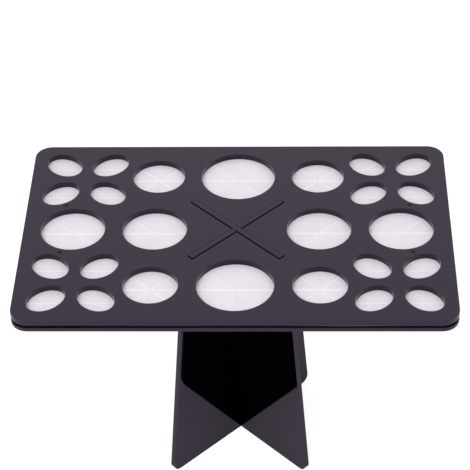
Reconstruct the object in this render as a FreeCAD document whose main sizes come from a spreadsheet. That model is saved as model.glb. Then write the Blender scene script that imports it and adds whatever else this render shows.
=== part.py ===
import FreeCAD, Part
import os
import Sketcher

from FreeCAD import Placement, Rotation, Vector

# A cosmetics drying rack. Its tray is two acrylic boards that clamp one silicone sheet,
# and all three have the same 26 holes, where the sheet is only slit into soft petals. The
# tray drops onto the tabs of two half-lapped plates, which cross in an X and are the legs.
#
# Frame: +Z up, +Y to the back, X along the tray. The origin is on the surface that the
# rack stands on, under the middle of the tray. Millimetres.

SIZES = {
    # Outline and layers of the tray
    "tray_length": 200,
    "tray_width": 129,
    "corner_radius": 8,
    "edge_break": 0.25,
    "top_thickness": 3,
    "sheet_thickness": 1.5,
    "lower_thickness": 2,
    "sheet_inset": 1.7,
    # Underside of the tray above the surface
    "shelf_height": 121.5,
    # Round holes: two on each side of the middle, evenly spaced, and three along each side
    "large_radius": 15.1,
    "medium_radius": 12.6,
    "centre_radius": 17.7,
    "side_hole_from_end": 23.3,
    "round_row_from_side": 24.3,
    # Oval holes, four round a middle near each corner
    "oval_long_radius": 9.8,
    "oval_short_radius": 7.5,
    "oval_middle_from_end": 26.4,
    "oval_middle_from_side": 26.3,
    "oval_step_x": 11.25,
    "oval_step_y": 11.15,
    # Slits that make eight petals under each hole
    "slit_width": 0.16,
    "slit_margin": 0.7,
    # Crossed slots in the tray, and the tabs that stand in them
    "slot_reach": 30,
    "slot_width": 3.7,
    "tab_end_gap": 0.45,
    "sheet_slot_gap": 0.6,
    # The tray has slid forward on the tabs by this much, within the play of the slots
    "legs_back": 0.45,
    # Leg plates
    "leg_thickness": 2.8,
    "shoulder_reach": 34.5,
    "shoulder_radius": 1,
    "foot_reach": 47.3,
    "foot_radius": 4,
    "lap_height": 62,
    "lap_side_gap": 0.15,
    "lap_end_gap": 0.3,
    # Press pins that clamp the layers beside the outermost round holes, heads underneath
    "pin_past_hole": 4.7,
    "pin_off_rim": 2.3,
    "pin_radius": 1.35,
    "pin_hole_gap": 0.15,
    "pin_recess": 0.1,
    "pin_head_radius": 2.8,
    "pin_head_height": 1.2,
    "pin_head_bevel": 0.4,
}

LAYERS = "(sizes.top_thickness + sizes.sheet_thickness + sizes.lower_thickness)"
SHEET_LEVEL = "sizes.shelf_height + sizes.lower_thickness"
TOP_BOARD_LEVEL = f"{SHEET_LEVEL} + sizes.sheet_thickness"
TRAY_TOP = f"(sizes.shelf_height + {LAYERS})"
CUT_START = f"sizes.shelf_height - {LAYERS}"
CUT_LENGTH = f"3 * {LAYERS}"
TAB_REACH = "(sizes.slot_reach - sizes.tab_end_gap)"
SIDE_COLUMN = "(sizes.tray_length / 2 - sizes.side_hole_from_end)"
INNER_COLUMN = f"({SIDE_COLUMN} / 2)"
ROUND_ROW = "(sizes.tray_width / 2 - sizes.round_row_from_side)"
OVAL_MIDDLE_X = "(sizes.tray_length / 2 - sizes.oval_middle_from_end)"
OVAL_MIDDLE_Y = "(sizes.tray_width / 2 - sizes.oval_middle_from_side)"
PIN_COLUMN = f"({SIDE_COLUMN} + sizes.pin_past_hole)"
PIN_ROW = "(sizes.large_radius + sizes.pin_off_rim)"
Y_AXIS = Vector(0, 1, 0)
Z_AXIS = Vector(0, 0, 1)
SIDES = {"right": 1, "left": -1}
ENDS = {"back": 1, "front": -1}

doc = FreeCAD.newDocument("drying_rack")


def fill_sheet():
    """Write the driving sizes into the spreadsheet, one alias to a row."""
    sheet = doc.addObject("Spreadsheet::Sheet", "sizes")
    for row, (name, value) in enumerate(SIZES.items(), start=1):
        sheet.set(f"A{row}", name)
        sheet.set(f"B{row}", str(value))
        sheet.setAlias(f"B{row}", name)
    doc.recompute()


def bind(thing, **expressions):
    """Bind properties to the sheet. A double underscore in a name stands for a dot."""
    for name, expression in expressions.items():
        thing.setExpression(name.replace("__", "."), expression)


def place(thing, x="0", y="0", z="0", turn=0):
    """Turn an object about Z by a fixed angle and bind its place to the sheet."""
    thing.Placement = Placement(Vector(), Rotation(Z_AXIS, turn))
    bind(thing, Placement__Base__x=x, Placement__Base__y=y, Placement__Base__z=z)


def new_body(name):
    body = doc.addObject("PartDesign::Body", name)
    body.Label = name
    return body


def origin_part(body, role):
    return next(part for part in body.Origin.OriginFeatures if part.Role == role)


def polygon_sketch(body, name, role, corners):
    """A closed outline on an origin plane, each corner bound by its two distances.

    corners gives each corner as (rough x, rough y, x expression, y expression): the
    rough values only say which way round the outline goes before the sheet sizes it.
    """
    sketch = body.newObject("Sketcher::SketchObject", name)
    sketch.AttachmentSupport = (origin_part(body, role), [""])
    sketch.MapMode = "FlatFace"
    rough = [Vector(corner[0], corner[1], 0) for corner in corners]
    for i, start in enumerate(rough):
        sketch.addGeometry(Part.LineSegment(start, rough[(i + 1) % len(rough)]), False)
    for i in range(len(rough)):
        joined = Sketcher.Constraint("Coincident", i, 2, (i + 1) % len(rough), 1)
        sketch.addConstraint(joined)
    for i, (x, y, x_size, y_size) in enumerate(corners):
        across = sketch.addConstraint(Sketcher.Constraint("DistanceX", -1, 1, i, 1, x))
        sketch.setExpression(f"Constraints[{across}]", x_size)
        up = sketch.addConstraint(Sketcher.Constraint("DistanceY", -1, 1, i, 1, y))
        sketch.setExpression(f"Constraints[{up}]", y_size)
    doc.recompute()
    return sketch


def box_outline(half_x, low_y, high_y):
    """Corners of a rectangle centred on the sketch's Y axis."""
    return [(-5, 0, f"-({half_x})", low_y), (5, 0, half_x, low_y),
            (5, 9, half_x, high_y), (-5, 9, f"-({half_x})", high_y)]


def edges_where(shape, test):
    """Names of the straight edges of a shape that pass a test."""
    return [f"Edge{i}" for i, edge in enumerate(shape.Edges, start=1)
            if len(edge.Vertexes) == 2 and test(edge)]


def runs_along(edge, axis):
    return abs(edge.tangentAt(edge.FirstParameter).dot(axis)) > 0.99


def is_upright(edge):
    return runs_along(edge, Z_AXIS)


def board(name, level, thickness, inset):
    """A flat board with rounded corners, its outline drawn in by inset all round."""
    body = new_body(name)
    half_length = f"sizes.tray_length / 2 - {inset}"
    half_width = f"sizes.tray_width / 2 - {inset}"
    outline = polygon_sketch(body, f"{name}_outline", "XY_Plane",
                             box_outline(half_length, f"-({half_width})", half_width))
    pad = body.newObject("PartDesign::Pad", f"{name}_pad")
    pad.Profile = outline
    bind(pad, Length=thickness)
    doc.recompute()
    rounding = body.newObject("PartDesign::Fillet", f"{name}_corners")
    rounding.Base = (pad, edges_where(pad.Shape, is_upright))
    bind(rounding, Radius=f"sizes.corner_radius - {inset}")
    doc.recompute()
    place(body, z=level)
    return body, rounding


def break_edges(body, rounding):
    """Take the sharpness off the outline of an acrylic board."""
    outline = edges_where(rounding.Shape, lambda edge: not is_upright(edge))
    bevel = body.newObject("PartDesign::Chamfer", f"{body.Name}_edge_break")
    bevel.Base = (rounding, outline)
    bind(bevel, Size="sizes.edge_break")
    doc.recompute()


def hole_plan():
    """Every hole as (name, x, y, turn of its long axis, long radius, short radius)."""
    large, medium, centre = "sizes.large_radius", "sizes.medium_radius", "sizes.centre_radius"
    holes = []
    for side, right in SIDES.items():
        holes.append((f"{side}_outer", f"{right} * {SIDE_COLUMN}", "0", 0, large, large))
        holes.append((f"{side}_inner", f"{right} * {INNER_COLUMN}", "0", 0, large, large))
    for end, back in ENDS.items():
        row = f"{back} * {ROUND_ROW}"
        holes.append((f"{end}_centre", "0", row, 0, centre, centre))
        for side, right in SIDES.items():
            column = f"{right} * {INNER_COLUMN}"
            holes.append((f"{end}_{side}_medium", column, row, 0, medium, medium))
            for x_side, step_x in SIDES.items():
                for y_side, step_y in ENDS.items():
                    x = f"{right} * {OVAL_MIDDLE_X} + {step_x} * sizes.oval_step_x"
                    y = f"{back} * {OVAL_MIDDLE_Y} + {step_y} * sizes.oval_step_y"
                    holes.append((f"{end}_{side}_oval_{y_side}_{x_side}", x, y, 45 * step_x * step_y,
                                  "sizes.oval_long_radius", "sizes.oval_short_radius"))
    return holes


def hole_cutter(name, x, y, turn, long_radius, short_radius):
    """A tall round or oval plug that cuts one hole through every layer."""
    if long_radius == short_radius:
        plug = doc.addObject("Part::Cylinder", f"cut_{name}")
        bind(plug, Radius=long_radius, Height=CUT_LENGTH)
        place(plug, x, y, CUT_START)
        return plug
    outline = doc.addObject("Part::Ellipse", f"outline_{name}")
    bind(outline, MajorRadius=long_radius, MinorRadius=short_radius)
    place(outline, x, y, CUT_START, turn)
    plug = doc.addObject("Part::Extrusion", f"cut_{name}")
    plug.Base = outline
    plug.DirMode = "Custom"
    plug.Dir = Z_AXIS
    plug.Solid = True
    bind(plug, LengthFwd=CUT_LENGTH)
    return plug


def centred_box(name, x, y, turn, length, width):
    """A tall box turned about Z, with its middle at x, y."""
    box = doc.addObject("Part::Box", name)
    bind(box, Length=length, Width=width, Height=CUT_LENGTH)
    place(box, f"{x} - ({length}) / 2 * cos({turn}) + ({width}) / 2 * sin({turn})",
          f"{y} - ({length}) / 2 * sin({turn}) - ({width}) / 2 * cos({turn})", CUT_START, turn)
    return box


def joined(name, pieces):
    whole = doc.addObject("Part::MultiFuse", name)
    whole.Shapes = pieces
    return whole


def crossed_slots(name, side_gap, end_gap):
    """The X of two slots that the legs' tabs stand in, widened by the gaps."""
    length = f"2 * (sizes.slot_reach + {end_gap})"
    width = f"sizes.slot_width + 2 * {side_gap}"
    return joined(name, [centred_box(f"{name}_{turn}", "0", "0", turn, length, width)
                         for turn in (45, -45)])


def pin_places():
    """Each press pin as (name, x, y)."""
    return [(f"{end}_{side}", f"{right} * {PIN_COLUMN}", f"{back} * {PIN_ROW}")
            for end, back in ENDS.items() for side, right in SIDES.items()]


def pin_holes():
    holes = []
    for name, x, y in pin_places():
        hole = doc.addObject("Part::Cylinder", f"cut_pin_{name}")
        bind(hole, Radius="sizes.pin_radius + sizes.pin_hole_gap", Height=CUT_LENGTH)
        place(hole, x, y, CUT_START)
        holes.append(hole)
    return holes


def radius_along(turn, long_radius, short_radius):
    """Distance from the middle of an oval to its edge, turned from its long axis."""
    if turn % 180 == 0:
        return long_radius
    if turn % 180 == 90:
        return short_radius
    return (f"{long_radius} * {short_radius} / sqrt(({long_radius} * sin({turn}))^2"
            f" + ({short_radius} * cos({turn}))^2)")


def petal_slits(name, x, y, turn, long_radius, short_radius):
    """Four crossed slits, which leave eight petals that join the sheet at the rim."""
    slits = []
    for angle in (0, 45, 90, 135):
        reach = radius_along(angle - turn, long_radius, short_radius)
        slits.append(centred_box(f"slit_{name}_{angle}", x, y, angle,
                                 f"2 * ({reach} - sizes.slit_margin)", "sizes.slit_width"))
    return joined(f"slits_{name}", slits)


def cut(name, base, cutters):
    """The finished sub-part: its blank less every cutter."""
    base.Label = f"{name}_blank"
    tools = doc.addObject("Part::Compound", f"{name}_cutters")
    tools.Links = cutters
    part = doc.addObject("Part::Cut", name)
    part.Base, part.Tool = base, tools
    part.Label = name
    return part


def make_tray():
    """The two boards and the sheet between them, cut on the same plan of holes."""
    plan = hole_plan()
    through = [hole_cutter(*hole) for hole in plan]
    through += [crossed_slots("tab_slots", "0", "0")] + pin_holes()
    lower, lower_corners = board("lower_board", "sizes.shelf_height", "sizes.lower_thickness", "0")
    break_edges(lower, lower_corners)
    top, top_corners = board("top_board", TOP_BOARD_LEVEL, "sizes.top_thickness", "0")
    break_edges(top, top_corners)
    sheet, _ = board("silicone_sheet", SHEET_LEVEL, "sizes.sheet_thickness", "sizes.sheet_inset")
    openings = [petal_slits(*hole) for hole in plan] + pin_holes()
    openings.append(crossed_slots("sheet_slots", "sizes.sheet_slot_gap", "sizes.sheet_slot_gap"))
    return [cut("lower_board", lower, through), cut("silicone_sheet", sheet, openings),
            cut("top_board", top, through)]


def make_leg(name, turn, lap_low, lap_high):
    """One leg plate: flared sides, a tab for the tray's slot and a half-lap notch."""
    body = new_body(name)
    shelf, top = "sizes.shelf_height", TRAY_TOP
    right = [(47, 0, "sizes.foot_reach", "0"), (34, 120, "sizes.shoulder_reach", shelf),
             (29, 120, TAB_REACH, shelf), (29, 128, TAB_REACH, top)]
    left = [(-x, y, f"-{x_size}", y_size) for x, y, x_size, y_size in reversed(right)]
    outline = polygon_sketch(body, f"{name}_outline", "XZ_Plane", right + left)
    plate = body.newObject("PartDesign::Pad", f"{name}_plate")
    plate.Profile = outline
    plate.SideType = "Symmetric"
    bind(plate, Length="sizes.leg_thickness")
    doc.recompute()
    feet = body.newObject("PartDesign::Fillet", f"{name}_feet")
    feet.Base = (plate, edges_where(plate.Shape, is_foot_corner))
    bind(feet, Radius="sizes.foot_radius")
    doc.recompute()
    shoulders = body.newObject("PartDesign::Fillet", f"{name}_shoulders")
    shoulders.Base = (feet, edges_where(feet.Shape, is_shoulder))
    bind(shoulders, Radius="sizes.shoulder_radius")
    doc.recompute()
    notch = polygon_sketch(body, f"{name}_lap", "XZ_Plane",
                           box_outline("sizes.leg_thickness / 2 + sizes.lap_side_gap", lap_low, lap_high))
    pocket = body.newObject("PartDesign::Pocket", f"{name}_notch")
    pocket.Profile = notch
    pocket.SideType = "Symmetric"
    bind(pocket, Length="2 * sizes.leg_thickness")
    place(body, y="sizes.legs_back", turn=turn)
    return body


def is_foot_corner(edge):
    return runs_along(edge, Y_AXIS) and abs(edge.Vertexes[0].Z) < 1e-6


def is_shoulder(edge):
    beyond_tab = abs(edge.Vertexes[0].X) > doc.sizes.slot_reach
    return runs_along(edge, Y_AXIS) and beyond_tab and edge.Vertexes[0].Z > doc.sizes.lap_height


def make_legs():
    """The lower leg is notched from the top and the upper leg from the bottom."""
    meeting = "sizes.lap_height"
    beyond = "sizes.leg_thickness"
    return [make_leg("lower_leg", 45, meeting, f"{TRAY_TOP} + {beyond}"),
            make_leg("upper_leg", -45, f"-{beyond}", f"{meeting} + sizes.lap_end_gap")]


def make_pin(name, x, y):
    """A press pin: a low head under the tray and a shank that ends just below its top."""
    body = new_body(f"press_pin_{name}")
    head, bevel = "sizes.pin_head_radius", "sizes.pin_head_bevel"
    under = "-sizes.pin_head_height"
    tip = f"{LAYERS} - sizes.pin_recess"
    outline = polygon_sketch(body, f"{body.Name}_outline", "XZ_Plane", [
        (0, -2, "0", under), (3, -2, f"{head} - {bevel}", under),
        (4, -1, head, f"{under} + {bevel}"), (4, 0, head, "0"),
        (1, 0, "sizes.pin_radius", "0"), (1, 6, "sizes.pin_radius", tip), (0, 6, "0", tip)])
    turned = body.newObject("PartDesign::Revolution", f"{body.Name}_turned")
    turned.Profile = outline
    turned.ReferenceAxis = (origin_part(body, "Z_Axis"), [""])
    turned.Angle = 360
    place(body, x, y, "sizes.shelf_height")
    return body


def check_and_write(parts):
    """Stop on any failed object or bad shape, then write one STEP file to a part."""
    doc.recompute()
    failed = [thing.Name for thing in doc.Objects
              if "Invalid" in thing.State or "Error" in thing.State]
    assert not failed, f"failed objects: {failed}"
    for part in parts:
        shape = part.Shape
        assert not shape.isNull() and shape.isValid(), f"{part.Label} has a bad shape"
        assert len(shape.Solids) == 1, f"{part.Label} holds {len(shape.Solids)} solids"
    os.makedirs("parts", exist_ok=True)
    for part in parts:
        part.Shape.exportStep(f"parts/{part.Label}.step")
        box = part.Shape.BoundBox
        print(f"{part.Label}: {part.Shape.Volume:.1f} mm3, x {box.XMin:.2f} to {box.XMax:.2f}, "
              f"y {box.YMin:.2f} to {box.YMax:.2f}, z {box.ZMin:.2f} to {box.ZMax:.2f}")


fill_sheet()
check_and_write(make_tray() + make_legs() + [make_pin(*pin) for pin in pin_places()])
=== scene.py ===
"""A cosmetics drying rack of polished black acrylic and slit white silicone.

Every piece is a surface worked out in numpy from the same sizes as the solids: outlines
are closed paths in millimetres, and a rounded edge profile is carried along them.
"""

import logging
from dataclasses import dataclass, field
from enum import Enum

import bpy
import numpy as np
from mathutils import Matrix, Vector
from mathutils.geometry import delaunay_2d_cdt

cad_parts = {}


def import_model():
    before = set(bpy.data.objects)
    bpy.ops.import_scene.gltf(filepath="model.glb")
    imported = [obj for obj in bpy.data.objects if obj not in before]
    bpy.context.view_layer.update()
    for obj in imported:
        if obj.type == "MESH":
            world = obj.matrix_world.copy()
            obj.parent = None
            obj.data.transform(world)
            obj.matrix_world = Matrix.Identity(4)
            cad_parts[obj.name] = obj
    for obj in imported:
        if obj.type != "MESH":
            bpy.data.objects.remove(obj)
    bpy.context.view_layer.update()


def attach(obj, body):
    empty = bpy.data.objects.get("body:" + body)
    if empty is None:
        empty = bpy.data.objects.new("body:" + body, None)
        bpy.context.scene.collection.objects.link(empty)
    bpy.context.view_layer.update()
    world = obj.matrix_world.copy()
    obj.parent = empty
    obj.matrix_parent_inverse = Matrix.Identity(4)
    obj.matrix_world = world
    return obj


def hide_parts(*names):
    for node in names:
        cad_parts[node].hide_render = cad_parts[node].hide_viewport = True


LOG = logging.getLogger("drying_rack")
MM = 0.001
TURN = 2 * np.pi
# Where the legs' half-lap notches meet, in millimetres, and the play at the upper one's end.
LAP_HEIGHT = 62
LAP_END_GAP = 0.3


class Body(Enum):
    """The rigid bodies that the pieces ride on."""

    LOWER_LEG = "lower_leg"
    UPPER_LEG = "upper_leg"
    TRAY = "tray"


class Slot(Enum):
    """The record's material slots."""

    ACRYLIC = "black_acrylic"
    SILICONE = "silicone"
    PIN = "black_pin"


class Side(Enum):
    """Left and right of the rack, as the sign of X."""

    LEFT = -1
    RIGHT = 1


class End(Enum):
    """Front and back of the rack, as the sign of Y."""

    FRONT = -1
    BACK = 1


# Finishes


def linear(code: str) -> tuple[float, float, float, float]:
    """Turn an sRGB hex colour into linear values.

    Each channel c is c / 12.92 below 0.04045 and ((c + 0.055) / 1.055) ^ 2.4 above it.

    Args:
        code: The colour as "#rrggbb".

    Returns:
        Linear red, green, blue and an alpha of 1.
    """
    channels = np.array([int(code[i:i + 2], 16) for i in (1, 3, 5)]) / 255
    low, high = channels / 12.92, ((channels + 0.055) / 1.055) ** 2.4
    red, green, blue = np.where(channels <= 0.04045, low, high)
    return (float(red), float(green), float(blue), 1.0)


def add_node(tree: bpy.types.NodeTree, kind: str, settings: dict | None = None,
             inputs: dict | None = None) -> bpy.types.Node:
    """Add a node with its settings, values and links.

    Args:
        tree: The node tree that it goes into.
        kind: The node's type name.
        settings: Property names and values.
        inputs: Socket names or numbers, each with a value or the output socket to link.

    Returns:
        The new node.
    """
    node = tree.nodes.new(kind)
    for name, value in (settings or {}).items():
        setattr(node, name, value)
    for name, value in (inputs or {}).items():
        if isinstance(value, bpy.types.NodeSocket):
            tree.links.new(value, node.inputs[name])
        else:
            node.inputs[name].default_value = value
    return node


def new_material(name: str) -> tuple[bpy.types.Material, bpy.types.NodeTree]:
    """Make an empty node material.

    Args:
        name: The finish's name.

    Returns:
        The material and its cleared node tree.
    """
    material = bpy.data.materials.new(name)
    material.use_nodes = True
    material.node_tree.nodes.clear()
    return material, material.node_tree


@dataclass(frozen=True)
class PolishedBlackAcrylic:
    """Cast acrylic sheet, laser cut: mirror-flat faces and faintly striped cut walls.

    Attributes:
        colour: Body colour, as good as black.
        sheen: Tint of its reflections, which lean to violet.
        ior: Refractive index, at the high end for filled acrylic.
        rim_scatter_and_painted_reflection: The outline's cut wall: partly its own faint scatter,
            partly a painted reflection of the lit floor in front.
        roughness: Of the polished faces.
        haze_mm: Size of the hazy patches that wiping leaves.
        haze_roughness: Roughness that they add.
        cut_roughness: Of the laser-cut walls.
        stripe_mm: Spacing of the laser's stripes along a wall, drawn coarse enough to show.
    """

    colour: str = "#030204"
    sheen: str = "#e8d0ff"
    ior: float = 1.55
    rim_scatter_and_painted_reflection: str = "#1c191f"
    roughness: float = 0.03
    haze_mm: float = 24
    haze_roughness: float = 0.03
    cut_roughness: float = 0.1
    stripe_mm: float = 0.9

    def build(self, name: str) -> bpy.types.Material:
        """Build the material.

        Args:
            name: The material's name.

        Returns:
            The material.
        """
        material, tree = new_material(name)
        place = add_node(tree, "ShaderNodeTexCoord").outputs["Object"]
        cut = add_node(tree, "ShaderNodeAttribute", {"attribute_name": "cut_wall"}).outputs["Fac"]
        # Wiping leaves a haze that is only seen as a slightly uneven gloss.
        haze = add_node(tree, "ShaderNodeTexNoise", {},
                        {"Vector": place, "Scale": 1 / (self.haze_mm * MM), "Detail": 3.0})
        gloss = add_node(tree, "ShaderNodeMapRange", {}, {
            "Value": haze.outputs["Fac"], "To Min": self.roughness,
            "To Max": self.roughness + self.haze_roughness})
        rough = add_node(tree, "ShaderNodeMix", {"data_type": "FLOAT"}, {
            0: cut, 2: gloss.outputs["Result"], 3: self.cut_roughness})
        # The laser's pulses leave upright stripes on the walls that it cuts.
        flat = add_node(tree, "ShaderNodeMapping", {}, {
            "Vector": place, "Scale": (1 / (self.stripe_mm * MM), 1 / (self.stripe_mm * MM), 0)})
        stripes = add_node(tree, "ShaderNodeTexNoise", {},
                           {"Vector": flat.outputs["Vector"], "Scale": 1.0, "Detail": 1.0})
        height = add_node(tree, "ShaderNodeMath", {"operation": "MULTIPLY"},
                          {0: stripes.outputs["Fac"], 1: cut})
        bump = add_node(tree, "ShaderNodeBump", {}, {
            "Height": height.outputs[0], "Strength": 0.25, "Distance": 0.05 * MM})
        # The outline's wall is lighter than the body: partly its own scatter, partly a painted
        # reflection of the lit floor in front.
        rim = add_node(tree, "ShaderNodeAttribute", {"attribute_name": "rim_wall"})
        body = add_node(tree, "ShaderNodeMix", {"data_type": "RGBA"}, {
            0: rim.outputs["Fac"], 6: linear(self.colour), 7: linear(self.rim_scatter_and_painted_reflection)})
        shader = add_node(tree, "ShaderNodeBsdfPrincipled", {}, {
            "Base Color": body.outputs[2], "Specular Tint": linear(self.sheen),
            "IOR": self.ior, "Roughness": rough.outputs[0], "Normal": bump.outputs["Normal"]})
        add_node(tree, "ShaderNodeOutputMaterial", {}, {"Surface": shader.outputs[0]})
        return material


@dataclass(frozen=True)
class TranslucentSilicone:
    """Moulded sheet of milky silicone: satin, with a painted highlight along its cuts.

    Attributes:
        colour: The sheet's own milky white.
        painted_cut_highlight: The painted highlight, on the cut walls and along the slits.
        ior: Refractive index of silicone rubber.
        roughness: Satin.
        depth_mm: How far light spreads inside it.
        highlight_mm: How far from a slit its painted highlight is at its brightest, and where it
            has faded.
    """

    colour: str = "#f1eaf2"
    painted_cut_highlight: str = "#fffcff"
    ior: float = 1.41
    roughness: float = 0.42
    depth_mm: float = 0.4
    highlight_mm: tuple[float, float] = (0.35, 0.66)

    def build(self, name: str) -> bpy.types.Material:
        """Build the material.

        Args:
            name: The material's name.

        Returns:
            The material.
        """
        material, tree = new_material(name)
        place = add_node(tree, "ShaderNodeTexCoord").outputs["Object"]
        cut = add_node(tree, "ShaderNodeAttribute", {"attribute_name": "cut_wall"}).outputs["Fac"]
        # Painted shade, on each petal and on the sheet's outer edge, darkens the colour.
        shade = add_node(tree, "ShaderNodeAttribute", {"attribute_name": "petal_shade"})
        cloud = add_node(tree, "ShaderNodeTexNoise", {},
                         {"Vector": place, "Scale": 1 / (9 * MM), "Detail": 2.0})
        milk = add_node(tree, "ShaderNodeMapRange", {}, {
            "Value": cloud.outputs["Fac"], "To Min": 0.96, "To Max": 1.02})
        level = add_node(tree, "ShaderNodeMath", {"operation": "MULTIPLY"}, {
            0: milk.outputs["Result"], 1: shade.outputs["Fac"]})
        sheet = add_node(tree, "ShaderNodeMix", {"data_type": "RGBA", "blend_type": "MULTIPLY"},
                         {0: 1.0, 6: linear(self.colour), 7: level.outputs[0]})
        # Along the slits and on the cut walls the colour is lifted towards white: a painted
        # highlight.
        slit = add_node(tree, "ShaderNodeAttribute", {"attribute_name": "slit_distance"})
        highlight_band = add_node(tree, "ShaderNodeMapRange", {"interpolation_type": "SMOOTHSTEP"}, {
            "Value": slit.outputs["Fac"], "From Min": self.highlight_mm[0], "From Max": self.highlight_mm[1],
            "To Min": 1.0, "To Max": 0.0})
        bright = add_node(tree, "ShaderNodeMath", {"operation": "MAXIMUM"},
                          {0: cut, 1: highlight_band.outputs["Result"]})
        colour = add_node(tree, "ShaderNodeMix", {"data_type": "RGBA"}, {
            0: bright.outputs[0], 6: sheet.outputs[2], 7: linear(self.painted_cut_highlight)})
        grain = add_node(tree, "ShaderNodeTexNoise", {},
                         {"Vector": place, "Scale": 1 / (0.8 * MM), "Detail": 2.0})
        bump = add_node(tree, "ShaderNodeBump", {}, {
            "Height": grain.outputs["Fac"], "Strength": 0.12, "Distance": 0.05 * MM})
        shader = add_node(tree, "ShaderNodeBsdfPrincipled", {}, {
            "Base Color": colour.outputs[2], "IOR": self.ior, "Roughness": self.roughness,
            "Subsurface Weight": 0.5, "Subsurface Radius": (1.0, 0.95, 0.9),
            "Subsurface Scale": self.depth_mm * MM, "Normal": bump.outputs["Normal"]})
        add_node(tree, "ShaderNodeOutputMaterial", {}, {"Surface": shader.outputs[0]})
        return material


@dataclass(frozen=True)
class MouldedBlackNylon:
    """Injection-moulded nylon fasteners: satin black with a fine spark-eroded grain.

    Attributes:
        colour: Near black.
        sheen: Tint of its reflections, a little less violet than the boards'.
        roughness: Satin.
        grain_mm: Grain of the mould, drawn coarse enough to show.
    """

    colour: str = "#17151b"
    sheen: str = "#f0e4ff"
    roughness: float = 0.32
    grain_mm: float = 0.3

    def build(self, name: str) -> bpy.types.Material:
        """Build the material.

        Args:
            name: The material's name.

        Returns:
            The material.
        """
        material, tree = new_material(name)
        place = add_node(tree, "ShaderNodeTexCoord").outputs["Object"]
        grain = add_node(tree, "ShaderNodeTexNoise", {}, {
            "Vector": place, "Scale": 1 / (self.grain_mm * MM), "Detail": 2.0})
        rough = add_node(tree, "ShaderNodeMapRange", {}, {
            "Value": grain.outputs["Fac"], "To Min": self.roughness - 0.06,
            "To Max": self.roughness + 0.08})
        bump = add_node(tree, "ShaderNodeBump", {}, {
            "Height": grain.outputs["Fac"], "Strength": 0.2, "Distance": 0.02 * MM})
        shader = add_node(tree, "ShaderNodeBsdfPrincipled", {}, {
            "Base Color": linear(self.colour), "Specular Tint": linear(self.sheen),
            "Roughness": rough.outputs["Result"],
            "Normal": bump.outputs["Normal"]})
        add_node(tree, "ShaderNodeOutputMaterial", {}, {"Surface": shader.outputs[0]})
        return material


# Outlines


@dataclass(frozen=True)
class Outline:
    """A closed path round material, in millimetres, with the material on its left.

    Attributes:
        points: N by 2 positions.
        normals: N by 2 unit vectors that point out of the material.
        edge_share: Share of the sheet's edge radius that this path gets.
    """

    points: np.ndarray
    normals: np.ndarray
    edge_share: float = 1.0

    def inward(self, depth: float) -> np.ndarray:
        """The path moved into the material: each point less its normal times depth."""
        return self.points - self.normals * depth


def rounded_path(corners: list[tuple[float, float]], radii: list[float],
                 longest: float = 4.0) -> Outline:
    """A polygon with its corners rounded, the material on its left as it is walked.

    Each corner of half turn h is cut back by radius * tan(h) along both sides and joined
    by an arc, whose normal turns evenly from one side's to the other's. Straight runs are
    divided into steps of about the longest length.

    Args:
        corners: The polygon's corners.
        radii: One radius to a corner.
        longest: Longest step on a straight run.

    Returns:
        The outline.
    """
    corner = np.array(corners, float)
    ahead = np.roll(corner, -1, axis=0) - corner
    ahead /= np.linalg.norm(ahead, axis=1)[:, None]
    before = np.roll(ahead, 1, axis=0)
    turn = np.arctan2(before[:, 0] * ahead[:, 1] - before[:, 1] * ahead[:, 0],
                      (before * ahead).sum(axis=1))
    radius = np.array(radii, float)
    back = radius * np.tan(np.abs(turn) / 2)
    points, normals = [], []
    for i in range(len(corner)):
        steps = max(3, int(np.ceil(abs(turn[i]) / (TURN / 32))))
        first = np.array([before[i, 1], -before[i, 0]])
        angles = turn[i] * np.arange(steps + 1) / steps
        cos, sin = np.cos(angles), np.sin(angles)
        normal = np.stack([first[0] * cos - first[1] * sin,
                           first[0] * sin + first[1] * cos], axis=1)
        start = corner[i] - before[i] * back[i]
        centre = start - first * radius[i] * np.sign(turn[i])
        arc = centre + normal * radius[i] * np.sign(turn[i])
        points.append(arc)
        normals.append(normal)
        leave = corner[i] + ahead[i] * back[i]
        reach = corner[(i + 1) % len(corner)] - ahead[i] * back[(i + 1) % len(corner)]
        count = int(np.ceil(np.linalg.norm(reach - leave) / longest))
        along = (np.arange(1, count) / max(count, 1))[:, None]
        points.append(leave + (reach - leave) * along)
        normals.append(np.tile([ahead[i, 1], -ahead[i, 0]], (max(count - 1, 0), 1)))
    return Outline(np.concatenate(points), np.concatenate(normals))


def oval_hole(x: float, y: float, turn: float, long_radius: float, short_radius: float,
              steps: int = 96) -> Outline:
    """A round or oval hole, walked clockwise.

    Points are (a cos t, b sin t) turned and moved, and normals point to the hole's
    inside: minus (cos t / a, sin t / b) made unit.

    Args:
        x: Middle of the hole.
        y: Middle of the hole.
        turn: Direction of the long axis, in degrees.
        long_radius: Half of the long axis.
        short_radius: Half of the short axis.
        steps: Points round the hole.

    Returns:
        The outline.
    """
    angle = -TURN * np.arange(steps) / steps
    cos, sin = np.cos(angle), np.sin(angle)
    points = np.stack([long_radius * cos, short_radius * sin], axis=1)
    normals = -np.stack([cos / long_radius, sin / short_radius], axis=1)
    normals /= np.linalg.norm(normals, axis=1)[:, None]
    c, s = np.cos(np.radians(turn)), np.sin(np.radians(turn))
    spin = np.array([[c, s], [-s, c]])
    return Outline(points @ spin + (x, y), normals @ spin)


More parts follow.
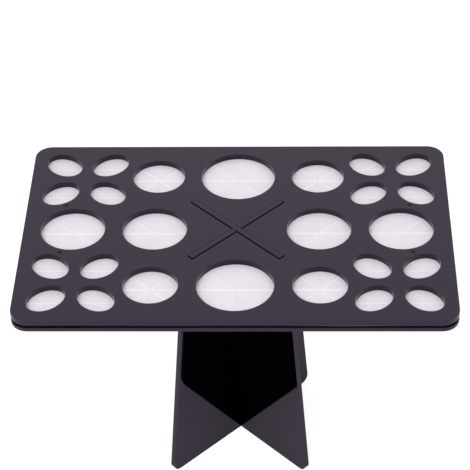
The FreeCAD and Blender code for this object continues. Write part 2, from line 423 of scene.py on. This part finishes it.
def star_hole(x: float, y: float, first_turn: float, reaches: list[float], width: float,
              tip_radius: float, end_radius: float) -> Outline:
    """Crossed slots through one middle, walked clockwise, with the material outside.

    Arm i points along first_turn plus i equal steps. Between neighbouring arms the sides
    meet at half the width over the sine of half a step, and each arm has two end corners.

    Args:
        x: Middle of the star.
        y: Middle of the star.
        first_turn: Direction of the first arm, in degrees.
        reaches: Length of each arm from the middle.
        width: Width of the arms.
        tip_radius: Rounding of the material's tips between the arms.
        end_radius: Rounding of the arms' end corners.

    Returns:
        The outline.
    """
    count = len(reaches)
    step = TURN / count
    corners, radii = [], []
    for i in range(count):
        angle = np.radians(first_turn) - i * step
        along = np.array([np.cos(angle), np.sin(angle)])
        across = np.array([-along[1], along[0]]) * width / 2
        reach = reaches[-i % count]
        fork = angle - step / 2
        corners += [tuple(along * reach + across), tuple(along * reach - across),
                    tuple(np.array([np.cos(fork), np.sin(fork)]) * width / 2 / np.sin(step / 2))]
        radii += [end_radius, end_radius, tip_radius]
    path = rounded_path(corners, radii, longest=2.0)
    return Outline(path.points + (x, y), path.normals)


# Surfaces


@dataclass
class CutSheet:
    """A flat sheet cut to outlines, with rounded edges, as one closed surface.

    The edge profile goes from the low face round a quarter arc, up the wall and round a
    second arc, and is carried along every outline. The two faces are filled between the
    outlines by a constrained triangulation.

    Attributes:
        outlines: The outer outline first, then the holes.
        low: Height of the low face, in millimetres.
        high: Height of the high face.
        edge: Radius of the rounded edges.
        extra: Further points inside the faces, where the sheet is to bend.
        arc_steps: Steps of each rounded edge.
    """

    outlines: list[Outline]
    low: float
    high: float
    edge: float
    extra: np.ndarray = field(default_factory=lambda: np.zeros((0, 2)))
    arc_steps: int = 3

    def profile(self, share: float) -> tuple[np.ndarray, np.ndarray, np.ndarray, np.ndarray]:
        """The edge profile.

        Args:
            share: Share of the edge radius that is used.

        Returns:
            Depth into the material and height of each row, and how far its normal points
            out and up.
        """
        arc = np.linspace(0, np.pi / 2, self.arc_steps + 1)
        depth = share * self.edge * (1 - np.sin(arc))
        rise = share * self.edge * (1 - np.cos(arc))
        return (np.concatenate([depth, depth[::-1]]),
                np.concatenate([self.low + rise, self.high - rise[::-1]]),
                np.concatenate([np.sin(arc), np.sin(arc)[::-1]]),
                np.concatenate([-np.cos(arc), np.cos(arc)[::-1]]))

    def on_rim(self, walls: np.ndarray) -> np.ndarray:
        """Of the points on cut walls, those on the outer outline: they come first."""
        first = 2 * (self.arc_steps + 1) * len(self.outlines[0].points)
        return np.where(np.arange(len(walls)) < first, walls, 0)

    def surface(self) -> tuple[np.ndarray, np.ndarray, list, np.ndarray]:
        """Work out the closed surface.

        Returns:
            Points, unit normals, faces and, for each point, 1 on a cut wall and 0 on a face.
        """
        points, normals, walls, faces, rims = [], [], [], [], []
        base = 0
        for path in self.outlines:
            depth, height, out, up = self.profile(path.edge_share)
            rows, count = len(depth), len(path.points)
            grid = np.zeros((rows, count, 3))
            grid[:, :, :2] = path.points - path.normals * depth[:, None, None]
            grid[:, :, 2] = height[:, None]
            normal = np.zeros((rows, count, 3))
            normal[:, :, :2] = path.normals * out[:, None, None]
            normal[:, :, 2] = up[:, None]
            here = base + np.arange(count)
            after = base + np.roll(np.arange(count), -1)
            row = np.arange(rows - 1)[:, None] * count
            quads = np.stack([here + row, after + row, after + row + count,
                              here + row + count], axis=2)
            faces += quads.reshape(-1, 4).tolist()
            rims.append((here, here + (rows - 1) * count))
            points.append(grid.reshape(-1, 3))
            normals.append(normal.reshape(-1, 3))
            walls.append(np.repeat((out > 0.3).astype(float), count))
            base += rows * count
        flat = np.concatenate([path.inward(self.edge * path.edge_share) for path in self.outlines]
                              + [self.extra])
        edges, at = [], 0
        for path in self.outlines:
            ring = at + np.arange(len(path.points))
            edges.append(np.stack([ring, np.roll(ring, -1)], axis=1))
            at += len(path.points)
        triangles = fill(flat, np.concatenate(edges))
        for level, turn_over in ((0, True), (1, False)):
            more = base + np.arange(len(self.extra))
            index = np.concatenate([rim[level] for rim in rims] + [more])
            chosen = index[triangles]
            faces += (chosen[:, ::-1] if turn_over else chosen).tolist()
            z = (self.low, self.high)[level]
            points.append(np.column_stack([self.extra, np.full(len(self.extra), z)]))
            normals.append(np.tile([0.0, 0.0, 2.0 * level - 1], (len(self.extra), 1)))
            walls.append(np.zeros(len(self.extra)))
            base += len(self.extra)
        return np.concatenate(points), np.concatenate(normals), faces, np.concatenate(walls)


def fill(points: np.ndarray, edges: np.ndarray) -> np.ndarray:
    """Fill the material between closed paths with triangles.

    A triangle is kept where a line from its middle towards +X crosses the paths an odd
    number of times.

    Args:
        points: N by 2 positions.
        edges: Pairs of point numbers along the closed paths.

    Returns:
        Triangles as M by 3 point numbers, counter-clockwise.
    """
    result = delaunay_2d_cdt([Vector(p) for p in points.tolist()], edges.tolist(), [], 1, 1e-7)
    source = np.array([origin[0] if origin else -1 for origin in result[3]])
    triangles = source[np.array(result[2])]
    assert (triangles >= 0).all(), "the fill added a point"
    corners = points[triangles]
    middle = corners.mean(axis=1)
    start, stop = points[edges[:, 0]], points[edges[:, 1]]
    slope = (stop - start)[:, 0] / np.where(stop[:, 1] == start[:, 1], 1, (stop - start)[:, 1])
    inside = np.zeros(len(middle), bool)
    for chunk in np.array_split(np.arange(len(middle)), max(1, len(middle) // 2000)):
        x, y = middle[chunk, :1], middle[chunk, 1:]
        spans = (start[:, 1] > y) != (stop[:, 1] > y)
        crossed = spans & (x < start[:, 0] + slope * (y - start[:, 1]))
        inside[chunk] = crossed.sum(axis=1) % 2 == 1
    ab, ac = corners[:, 1] - corners[:, 0], corners[:, 2] - corners[:, 0]
    area = ab[:, 0] * ac[:, 1] - ab[:, 1] * ac[:, 0]
    return np.where((area > 0)[:, None], triangles, triangles[:, ::-1])[inside]


def add_piece(name: str, points: np.ndarray, normals: np.ndarray, faces: list,
              attributes: dict[str, np.ndarray], material: bpy.types.Material) -> bpy.types.Object:
    """Put a surface into a mesh object at the origin.

    Args:
        name: The piece's name.
        points: Positions in millimetres.
        normals: Unit normals, one to a point.
        faces: Point numbers of each face.
        attributes: Values for each point that the material reads.
        material: The piece's finish.

    Returns:
        The object.
    """
    mesh = bpy.data.meshes.new(name)
    mesh.from_pydata((points * MM).tolist(), [], faces)
    mesh.update()
    for label, values in attributes.items():
        layer = mesh.attributes.new(label, "FLOAT", "POINT")
        layer.data.foreach_set("value", values.astype(np.float32))
    mesh.shade_smooth()
    mesh.normals_split_custom_set_from_vertices(normals.tolist())
    mesh.materials.append(material)
    piece = bpy.data.objects.new(name, mesh)
    bpy.context.scene.collection.objects.link(piece)
    LOG.info("%s: %d points, %d faces", name, len(points), len(faces))
    return piece


# The rack


@dataclass(frozen=True)
class Hole:
    """One hole of the tray.

    Attributes:
        x: Middle of the hole.
        y: Middle of the hole.
        turn: Direction of the long axis, in degrees.
        long_radius: Half of the long axis.
        short_radius: Half of the short axis.
    """

    x: float
    y: float
    turn: float
    long_radius: float
    short_radius: float

    def outline(self, steps: int = 96) -> Outline:
        """The hole's edge."""
        return oval_hole(self.x, self.y, self.turn, self.long_radius, self.short_radius, steps)

    def reach(self, angle: np.ndarray | float) -> np.ndarray | float:
        """Distance from the middle to the edge along an angle in radians.

        It is a b / sqrt((b cos t)^2 + (a sin t)^2) with t counted from the long axis.
        """
        t = angle - np.radians(self.turn)
        a, b = self.long_radius, self.short_radius
        return a * b / np.hypot(b * np.cos(t), a * np.sin(t))


@dataclass
class Tray:
    """Two acrylic boards with a slit silicone sheet between them, held by press pins.

    Lengths are in millimetres and places count from the middle. The shares are of the
    length that they follow, and a fade counts as distance from a slit, which holds back
    the painted highlight along it.
    """

    length: float = 200
    width: float = 129
    corner: float = 8
    shelf: float = 121.5
    lower_thickness: float = 2
    sheet_thickness: float = 1.5
    top_thickness: float = 3
    sheet_inset: float = 1.7
    board_edge: float = 0.25
    cut_edge_share: float = 0.5
    slot_edge_share: float = 0.1
    large: float = 15.1
    medium: float = 12.6
    centre: float = 17.7
    side_column: float = 76.7
    round_row: float = 40.2
    oval_long: float = 9.8
    oval_short: float = 7.5
    oval_middle: tuple[float, float] = (73.6, 38.2)
    oval_step: tuple[float, float] = (11.25, 11.15)
    slot_reach: float = 30
    slot_width: float = 3.7
    sheet_slot_gap: float = 0.6
    slit_width: float = 0.004
    slit_margin: float = 0.7
    slit_lip: float = 0.006
    slit_rise: float = 0.06
    medium_fade: tuple[float, float, float, float] = (0.0, 0.12, 0.7, 0.2)
    large_fade: tuple[float, float, float, float] = (0.0, 0.25, 0.7, 0.45)
    oval_fade: tuple[float, float, float, float] = (0.22, 0.36, 0.7, 0.45)
    sheet_rim_shade: float = 0.45
    petals: int = 8
    pin_at: tuple[float, float] = (81.4, 17.4)
    pin_radius: float = 1.35
    pin_hole_gap: float = 0.06
    pin_hole_steps: int = 32
    pin_edge_share: float = 0.2
    slot_fork_radius: float = 0.4
    slot_end_radius: float = 0.35
    slit_fork_share: float = 1.2
    slit_end_divisor: float = 2.2
    sheet_rim_edge: float = 0.1
    slit_rise_spread: float = 0.3
    largest_drop: float = 0.08
    drop_power: float = 1.5
    darkest_petal: float = 0.955
    far_from_slits: float = 5.0
    front_bumps: tuple[tuple[float, float, float], ...] = (
        (0.2, 52, 16), (-0.3, -80, 22), (-0.15, 5, 20))
    seed: int = 11

    def holes(self) -> list[Hole]:
        """All 26 holes: four large, four medium, two at the centre line and 16 ovals."""
        holes = []
        for side in Side:
            column = side.value * self.side_column
            holes += [Hole(column, 0, 0, self.large, self.large),
                      Hole(column / 2, 0, 0, self.large, self.large)]
        for end in End:
            row = end.value * self.round_row
            holes.append(Hole(0, row, 0, self.centre, self.centre))
            for side in Side:
                holes.append(Hole(side.value * self.side_column / 2, row, 0,
                                  self.medium, self.medium))
                middle_x = side.value * self.oval_middle[0]
                middle_y = end.value * self.oval_middle[1]
                for x_sign in (-1, 1):
                    for y_sign in (-1, 1):
                        holes.append(Hole(middle_x + x_sign * self.oval_step[0],
                                          middle_y + y_sign * self.oval_step[1],
                                          45 * x_sign * y_sign, self.oval_long, self.oval_short))
        return holes

    def blank(self, inset: float) -> Outline:
        """The tray's outline, drawn in by an inset."""
        x, y, r = self.length / 2 - inset, self.width / 2 - inset, self.corner - inset
        return rounded_path([(-x, -y), (x, -y), (x, y), (-x, y)], [r] * 4)

    def tab_slots(self, gap: float) -> Outline:
        """The X of slots for the legs' tabs, widened by a gap."""
        return star_hole(0, 0, 45, [self.slot_reach + gap] * 4, self.slot_width + 2 * gap,
                         self.slot_fork_radius, self.slot_end_radius)

    def pin_holes(self) -> list[Outline]:
        """The round holes for the press pins, with crisp edges."""
        radius = self.pin_radius + self.pin_hole_gap
        holes = [oval_hole(side.value * self.pin_at[0], end.value * self.pin_at[1], 0,
                           radius, radius, self.pin_hole_steps)
                 for side in Side for end in End]
        return [Outline(hole.points, hole.normals, self.pin_edge_share) for hole in holes]

    def board(self, name: str, low: float, high: float, finish: bpy.types.Material) -> None:
        """Make one acrylic board, which stands for the node of its name.

        Args:
            name: The CAD node.
            low: Height of its underside.
            high: Height of its top.
            finish: Its material.
        """
        cuts = [hole.outline() for hole in self.holes()]
        cuts = [Outline(cut.points, cut.normals, self.cut_edge_share) for cut in cuts]
        slots = self.tab_slots(0)
        cuts.append(Outline(slots.points, slots.normals, self.slot_edge_share))
        outlines = [self.blank(0)] + cuts + self.pin_holes()
        sheet = CutSheet(outlines, low, high, self.board_edge)
        points, normals, faces, walls = sheet.surface()
        piece = add_piece(f"{name}_polished", points, normals, faces,
                          {"cut_wall": walls, "rim_wall": sheet.on_rim(walls)}, finish)
        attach(piece, Body.TRAY.value)
        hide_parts(name)

    def slits(self, hole: Hole) -> Outline:
        """The star of slits that leaves eight petals under a hole."""
        reaches = [float(hole.reach(TURN * i / self.petals)) - self.slit_margin
                   for i in range(self.petals)]
        return star_hole(hole.x, hole.y, 0, reaches, self.slit_width,
                         self.slit_lip * self.slit_fork_share,
                         self.slit_width / self.slit_end_divisor)

    def petal_points(self, hole: Hole) -> np.ndarray:
        """Points on rings inside the petals, clear of the slits, for the sheet to bend at.

        They are at angle (petal + u) * 45 degrees and radius v times the hole's reach.
        """
        u = (np.arange(self.petals)[:, None] + np.array([0.2, 0.5, 0.8])).ravel()
        u = u * TURN / self.petals
        v = np.array([0.05, 0.1, 0.18, 0.3, 0.45, 0.6, 0.75, 0.9, 1.05])
        angle, share = [grid.ravel() for grid in np.meshgrid(u, v)]
        radius = share * hole.reach(angle)
        return np.stack([hole.x + radius * np.cos(angle), hole.y + radius * np.sin(angle)], axis=1)

    def peek(self, points: np.ndarray) -> np.ndarray:
        """How far the hand-laid sheet's edge strays outwards along its front.

        It is a sum of bumps, each amount * exp(-((x - middle) / spread) ^ 2).

        Args:
            points: N by 2 positions on the sheet's edge.

        Returns:
            The distance at each point.
        """
        x, front = points[:, 0], points[:, 1] < 0
        bumps = [amount * np.exp(-((x - middle) / spread) ** 2)
                 for amount, middle, spread in self.front_bumps]
        return np.where(front, np.sum(bumps, axis=0), 0)

    def slit_fade(self, hole: Hole) -> np.ndarray:
        """How far the painted highlight along a slit of each direction fades in this hole.

        Slits that run left and right catch the light and get the painted highlight, and those
        that run front to back don't. Of the slanting ones, those that point away from the
        tray's middle at the back get more. In the small ovals, whose stiff petals close the
        slits tightly, it is fainter.

        Args:
            hole: The hole.

        Returns:
            Amounts for slits at 0, 45, 90 and 135 degrees.
        """
        if hole.long_radius != hole.short_radius:
            fades = self.oval_fade
        else:
            fades = self.medium_fade if hole.long_radius < self.large else self.large_fade
        return np.array(fades)[[0, 1, 2, 3] if hole.x > 0 else [0, 3, 2, 1]]

    def droop(self, points: np.ndarray) -> tuple[np.ndarray, np.ndarray, np.ndarray]:
        """How the petals hang, and the painted shade that each one's colour gets.

        A petal's tip hangs by its own small drop, which falls off as (1 - r / R) ^ 1.5
        from the middle of the hole to its edge. Along a slit its edge stands up a little.
        The distance from a slit at angle s is |x sin s - y cos s|.

        Args:
            points: N by 2 positions.

        Returns:
            Rise of each point, the painted shade of the petal that it is on, and its distance from
            the nearest slit in millimetres plus an amount that fades that slit's painted highlight.
        """
        rise, shade = np.zeros(len(points)), np.ones(len(points))
        slit = np.full(len(points), self.far_from_slits)
        chance = np.random.default_rng(self.seed)
        for hole in self.holes():
            drops = chance.uniform(0.0, self.largest_drop, self.petals)
            # Each petal's colour is darkened a little at random: painted shade for light falling
            # unevenly on the tilted petals.
            shades = chance.uniform(self.darkest_petal, 1.0, self.petals)
            away = points - (hole.x, hole.y)
            angle = np.arctan2(away[:, 1], away[:, 0]) % TURN
            share = np.hypot(away[:, 0], away[:, 1]) / hole.reach(angle)
            petal = np.minimum((angle / TURN * self.petals).astype(int), self.petals - 1)
            inside = share < 1
            hang = (1 - share[inside]) ** self.drop_power
            rise[inside] = -drops[petal[inside]] * hang
            shade[inside] = shades[petal[inside]]
            lines = np.arange(self.petals / 2) * TURN / self.petals
            across = np.abs(away[:, :1] * np.sin(lines) - away[:, 1:] * np.cos(lines))
            near = across.min(axis=1)[inside]
            rise[inside] += self.slit_rise * np.exp(-(near / self.slit_rise_spread) ** 2)
            # Distance from the nearest slit plus its fade, which places the painted highlight.
            slit[inside] = (across + self.slit_fade(hole)).min(axis=1)[inside]
        return rise, shade, slit

    def silicone(self, finish: bpy.types.Material) -> None:
        """Make the one silicone sheet with all its petals.

        Args:
            finish: Its material.
        """
        low = self.shelf + self.lower_thickness
        holes = self.holes()
        rim = self.blank(self.sheet_inset)
        outlines = [Outline(rim.points + rim.normals * self.peek(rim.points)[:, None], rim.normals,
                            self.sheet_rim_edge / self.slit_lip)]
        outlines += [self.slits(hole) for hole in holes] + [self.tab_slots(self.sheet_slot_gap)]
        outlines += self.pin_holes()
        extra = np.concatenate([self.petal_points(hole) for hole in holes])
        sheet = CutSheet(outlines, low, low + self.sheet_thickness, self.slit_lip, extra)
        points, normals, faces, walls = sheet.surface()
        rise, shade, slit = self.droop(points[:, :2])
        points[:, 2] += rise
        # The outer edge lies deep between the boards, in shade: it gets no painted highlight, and
        # its colour is darkened as painted shade.
        rim = sheet.on_rim(walls)
        shade = np.where(rim > 0, self.sheet_rim_shade, shade)
        piece = add_piece("silicone_sheet_with_petals", points, normals, faces,
                          {"cut_wall": walls - rim, "petal_shade": shade, "slit_distance": slit},
                          finish)
        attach(piece, Body.TRAY.value)
        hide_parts("silicone_sheet")

    def build(self, acrylic: bpy.types.Material, silicone: bpy.types.Material) -> None:
        """Build the boards and the sheet.

        Args:
            acrylic: The boards' finish.
            silicone: The sheet's finish.
        """
        low = self.shelf + self.lower_thickness
        high = low + self.sheet_thickness
        self.board("lower_board", self.shelf, low, acrylic)
        self.board("top_board", high, high + self.top_thickness, acrylic)
        self.silicone(silicone)


@dataclass
class PressPin:
    """A press pin turned about an upright axis, in millimetres."""

    head_radius: float = 2.8
    head_height: float = 1.2
    head_bevel: float = 0.4
    shank_radius: float = 1.35
    pit_radius: float = 0.8
    pit_depth: float = 0.6
    length: float = 6.4
    shelf: float = 121.5
    steps: int = 40

    def profile(self) -> np.ndarray:
        """Radius and height from the middle of the head's face to the middle of the tip.

        The head has a shallow dish and a rounded rim, and the tip a round pit, which
        leaves the ring that shows in the top board.
        """
        r, h, bevel = self.head_radius, self.head_height, self.head_bevel
        arc = np.linspace(-np.pi / 2, 0, 6)
        rim = np.column_stack([r - bevel + bevel * np.cos(arc), -h + bevel + bevel * np.sin(arc)])
        head = [(0, -h + 0.25), (1.1, -h + 0.22), (1.5, -h + 0.05), (1.75, -h)]
        shank = [(r, -0.02), (r - 0.05, 0), (self.shank_radius, 0.001)]
        pit, floor = self.pit_radius, self.length - self.pit_depth
        tip = [(self.shank_radius, self.length - 0.08),
               (self.shank_radius - 0.03, self.length - 0.02),
               (self.shank_radius - 0.1, self.length), (pit + 0.07, self.length),
               (pit, self.length - 0.06), (pit - 0.04, floor + 0.05), (pit - 0.1, floor),
               (0, floor)]
        return np.concatenate([np.array(head), rim, np.array(shank), np.array(tip)])

    def build(self, side: Side, end: End, at: tuple[float, float],
              finish: bpy.types.Material) -> None:
        """Carry the profile round the pin's axis.

        Args:
            side: Left or right.
            end: Front or back.
            at: Distance of the pin from the tray's middle along X and Y.
            finish: Its material.
        """
        profile = self.profile()
        angle = TURN * np.arange(self.steps) / self.steps
        ring = profile[1:-1]
        grid = np.zeros((len(ring), self.steps, 3))
        grid[:, :, 0] = ring[:, :1] * np.cos(angle)
        grid[:, :, 1] = ring[:, :1] * np.sin(angle)
        grid[:, :, 2] = ring[:, 1:]
        slope = np.gradient(ring, axis=0)
        normal = np.stack([slope[:, 1:] * np.cos(angle), slope[:, 1:] * np.sin(angle),
                           np.repeat(-slope[:, :1], self.steps, axis=1)], axis=2)
        normal /= np.linalg.norm(normal, axis=2)[:, :, None]
        here = np.arange(self.steps)
        after = np.roll(here, -1)
        row = np.arange(len(ring) - 1)[:, None] * self.steps
        quads = np.stack([here + row, after + row, after + row + self.steps,
                          here + row + self.steps], axis=2).reshape(-1, 4).tolist()
        last = grid.shape[0] * self.steps
        poles = np.array([[0, 0, profile[0, 1]], [0, 0, profile[-1, 1]]])
        top = last - self.steps
        low_fan = np.column_stack([after, here, np.full(self.steps, last)])
        high_fan = np.column_stack([here + top, after + top, np.full(self.steps, last + 1)])
        fans = np.concatenate([low_fan, high_fan])
        points = np.concatenate([grid.reshape(-1, 3), poles])
        points += (side.value * at[0], end.value * at[1], self.shelf)
        normals = np.concatenate([normal.reshape(-1, 3), [[0, 0, -1], [0, 0, 1]]])
        node = f"press_pin_{end.name.lower()}_{side.name.lower()}"
        piece = add_piece(f"{node}_moulded", points, normals, quads + fans.tolist(), {}, finish)
        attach(piece, Body.TRAY.value)
        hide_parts(node)


@dataclass
class LegPlate:
    """One of the two plates that cross in an X, with its half-lap notch, in millimetres."""

    body: Body
    turn: float
    notch_low: float
    notch_high: float
    foot_reach: float = 47.3
    foot_radius: float = 4
    shoulder_reach: float = 34.5
    shoulder_radius: float = 1
    tab_reach: float = 29.55
    shelf: float = 121.5
    top: float = 128
    thickness: float = 2.8
    notch_half: float = 1.55
    back: float = 0.45
    edge: float = 0.06
    corner: float = 0.2

    def outline(self) -> Outline:
        """The plate's flared outline, walked with the material on its left."""
        n, small = self.notch_half, self.corner
        foot = [(-self.foot_reach, 0, self.foot_radius), (self.foot_reach, 0, self.foot_radius)]
        right = [(self.shoulder_reach, self.shelf, self.shoulder_radius),
                 (self.tab_reach, self.shelf, small), (self.tab_reach, self.top, small)]
        left = [(-x, y, r) for x, y, r in reversed(right)]
        if self.body is Body.LOWER_LEG:
            notch = [(n, self.notch_high, small), (n, self.notch_low, small),
                     (-n, self.notch_low, small), (-n, self.notch_high, small)]
            walk = foot + right + notch + left
        else:
            notch = [(-n, self.notch_low, small), (-n, self.notch_high, small),
                     (n, self.notch_high, small), (n, self.notch_low, small)]
            walk = foot[:1] + notch + foot[1:] + right + left
        return rounded_path([(x, y) for x, y, _ in walk], [r for _, _, r in walk])

    def build(self, finish: bpy.types.Material) -> None:
        """Make the plate upright, turned about Z.

        Args:
            finish: Its material.
        """
        half = self.thickness / 2
        points, normals, faces, walls = CutSheet([self.outline()], -half, half, self.edge).surface()
        angle = np.radians(self.turn)
        along = np.array([np.cos(angle), np.sin(angle), 0])
        up = np.array([0.0, 0.0, 1.0])
        out = np.cross(along, up)
        axes = np.stack([along, up, out])
        points = points @ axes + (0, self.back, 0)
        piece = add_piece(f"{self.body.value}_polished", points, normals @ axes, faces,
                          {"cut_wall": walls}, finish)
        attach(piece, self.body.value)
        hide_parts(self.body.value)


# Studio


@dataclass
class Studio:
    """White sweep, even soft light and the camera of the picture.

    Attributes:
        azimuth: Camera's direction, degrees right of the front.
        elevation: Camera's height, degrees above level.
        roll: Tilt of the frame, in degrees.
        distance: From the target, in millimetres.
        target: Point that the camera looks at, in millimetres.
        lens: Focal length for a sensor 36 mm wide.
        ambient: Strength of the even light from all round.
        floor_size: Side of the floor, in metres.
        floor_glow: Light that the floor itself gives off to the camera.
        floor_mirrored: Share of that glow that shows in a mirror image.
        paper: The floor's colour as a light and in a mirror image.
        seen_paper: The floor's own colour under its glow.
        far_paper: The floor's colour in a mirror image of a mirror image.
        mirrored_twice: Mirror bounces past which a ray sees the far colour.
    """

    azimuth: float = 2.02
    elevation: float = 39.176
    roll: float = -1.36
    distance: float = 879.8
    target: tuple[float, float, float] = (-0.72, -4.68, 128.0)
    lens: float = 144.87
    ambient: float = 0.72
    floor_size: float = 12.0
    floor_glow: float = 0.9
    floor_mirrored: float = 0.1
    paper: str = "#ebe4ee"
    seen_paper: str = "#8c8c8c"
    far_paper: str = "#404040"
    mirrored_twice: float = 1.5

    def camera(self) -> None:
        """Place the camera: it looks from the target plus distance times its direction."""
        a, e, roll = np.radians([self.azimuth, self.elevation, self.roll])
        away = np.array([np.sin(a) * np.cos(e), -np.cos(a) * np.cos(e), np.sin(e)])
        right = np.cross(-away, [0, 0, 1.0])
        right /= np.linalg.norm(right)
        up = np.cross(right, -away)
        across = np.cos(roll) * right + np.sin(roll) * up
        above = np.cos(roll) * up - np.sin(roll) * right
        at = (np.array(self.target) + self.distance * away) * MM
        lens = bpy.data.cameras.new("camera")
        lens.lens, lens.sensor_width, lens.sensor_fit = self.lens, 36, "HORIZONTAL"
        lens.clip_start, lens.clip_end = 0.01, 50
        camera = bpy.data.objects.new("camera", lens)
        bpy.context.scene.collection.objects.link(camera)
        pose = np.eye(4)
        pose[:3, 0], pose[:3, 1], pose[:3, 2], pose[:3, 3] = across, above, away, at
        camera.matrix_world = Matrix(pose.tolist())
        bpy.context.scene.camera = camera

    def seen_white(self, tree: bpy.types.NodeTree, mirrored: float) -> bpy.types.NodeSocket:
        """How white a ray sees the surround.

        Args:
            tree: The node tree that asks.
            mirrored: The share for mirror rays.

        Returns:
            1 for camera and see-through rays, the share for mirror rays, and 0 for the rest.
        """
        path = add_node(tree, "ShaderNodeLightPath").outputs
        either = add_node(tree, "ShaderNodeMath", {"operation": "MAXIMUM"},
                          {0: path["Is Camera Ray"], 1: path["Is Transmission Ray"]})
        mirror = add_node(tree, "ShaderNodeMath", {"operation": "MULTIPLY"},
                          {0: path["Is Glossy Ray"], 1: mirrored})
        every = add_node(tree, "ShaderNodeMath", {"operation": "MAXIMUM"},
                         {0: either.outputs[0], 1: mirror.outputs[0]})
        return every.outputs[0]

    def world(self) -> None:
        """An even pale surround: white to look at, softer as a light."""
        world = bpy.data.worlds.new("surround")
        bpy.context.scene.world = world
        world.use_nodes = True
        tree = world.node_tree
        tree.nodes.clear()
        lit = add_node(tree, "ShaderNodeBackground", {},
                       {"Color": (1, 1, 1, 1), "Strength": self.ambient})
        seen = add_node(tree, "ShaderNodeBackground", {}, {"Color": (1, 1, 1, 1), "Strength": 1.0})
        both = add_node(tree, "ShaderNodeMixShader", {},
                        {0: self.seen_white(tree, 1.0), 1: lit.outputs[0], 2: seen.outputs[0]})
        add_node(tree, "ShaderNodeOutputWorld", {}, {"Surface": both.outputs[0]})

    def floor(self) -> None:
        """A white floor that looks white and keeps a soft shadow.

        Its mirror image in a mirror image is held back, which keeps the plates' inner
        corner as deep a black as in the picture.
        """
        material, tree = new_material("white_sweep")
        paper = add_node(tree, "ShaderNodeBsdfDiffuse", {}, {"Color": linear(self.paper)})
        glow = add_node(tree, "ShaderNodeEmission", {},
                        {"Color": (1, 1, 1, 1), "Strength": self.floor_glow})
        dimmed = add_node(tree, "ShaderNodeBsdfDiffuse", {}, {"Color": linear(self.seen_paper)})
        bright = add_node(tree, "ShaderNodeAddShader", {},
                          {0: dimmed.outputs[0], 1: glow.outputs[0]})
        both = add_node(tree, "ShaderNodeMixShader", {},
                        {0: self.seen_white(tree, self.floor_mirrored),
                         1: paper.outputs[0], 2: bright.outputs[0]})
        # Past two mirror bounces the floor turns dark grey: painted shade in the plates' inner
        # corner.
        bounces = add_node(tree, "ShaderNodeLightPath").outputs["Glossy Depth"]
        twice = add_node(tree, "ShaderNodeMath", {"operation": "GREATER_THAN"},
                         {0: bounces, 1: self.mirrored_twice})
        dim = add_node(tree, "ShaderNodeBsdfDiffuse", {}, {"Color": linear(self.far_paper)})
        all_three = add_node(tree, "ShaderNodeMixShader", {},
                             {0: twice.outputs[0], 1: both.outputs[0], 2: dim.outputs[0]})
        add_node(tree, "ShaderNodeOutputMaterial", {}, {"Surface": all_three.outputs[0]})
        half = self.floor_size / 2
        mesh = bpy.data.meshes.new("white_sweep")
        mesh.from_pydata([(-half, -half, 0), (half, -half, 0), (half, half, 0), (-half, half, 0)],
                         [], [(0, 1, 2, 3)])
        mesh.materials.append(material)
        floor = bpy.data.objects.new("white_sweep", mesh)
        bpy.context.scene.collection.objects.link(floor)

    def lamp(self, name: str, at: tuple[float, float, float], size: float, watts: float) -> None:
        """Add a soft square lamp that faces the rack.

        Args:
            name: Its name.
            at: Its place, in metres.
            size: Its side, in metres.
            watts: Its power.
        """
        light = bpy.data.lights.new(name, "AREA")
        light.size, light.energy = size, watts
        lamp = bpy.data.objects.new(name, light)
        bpy.context.scene.collection.objects.link(lamp)
        away = Vector(at) - Vector((0, 0, 0.1))
        lamp.rotation_euler = away.to_track_quat("Z", "Y").to_euler()
        lamp.location = at
        lamp.visible_glossy = False

    def build(self) -> None:
        """Set up the whole studio."""
        bpy.context.scene.view_settings.view_transform = "Standard"
        self.camera()
        self.world()
        self.floor()
        self.lamp("soft_box_front", (-0.5, -1.1, 1.5), 1.0, 14)


def main() -> None:
    """Load the frame and build the rack and its studio."""
    logging.basicConfig(level=logging.INFO, format="%(message)s")
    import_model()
    acrylic = PolishedBlackAcrylic().build("polished_black_cast_acrylic")
    silicone = TranslucentSilicone().build("milky_silicone_sheet")
    nylon = MouldedBlackNylon().build("moulded_black_nylon")
    tray = Tray()
    tray.build(acrylic, silicone)
    for side in Side:
        for end in End:
            PressPin().build(side, end, tray.pin_at, nylon)
    LegPlate(Body.LOWER_LEG, 45, LAP_HEIGHT, LegPlate.top).build(acrylic)
    LegPlate(Body.UPPER_LEG, -45, 0, LAP_HEIGHT + LAP_END_GAP).build(acrylic)
    Studio().build()


if __name__ == "__main__":
    main()
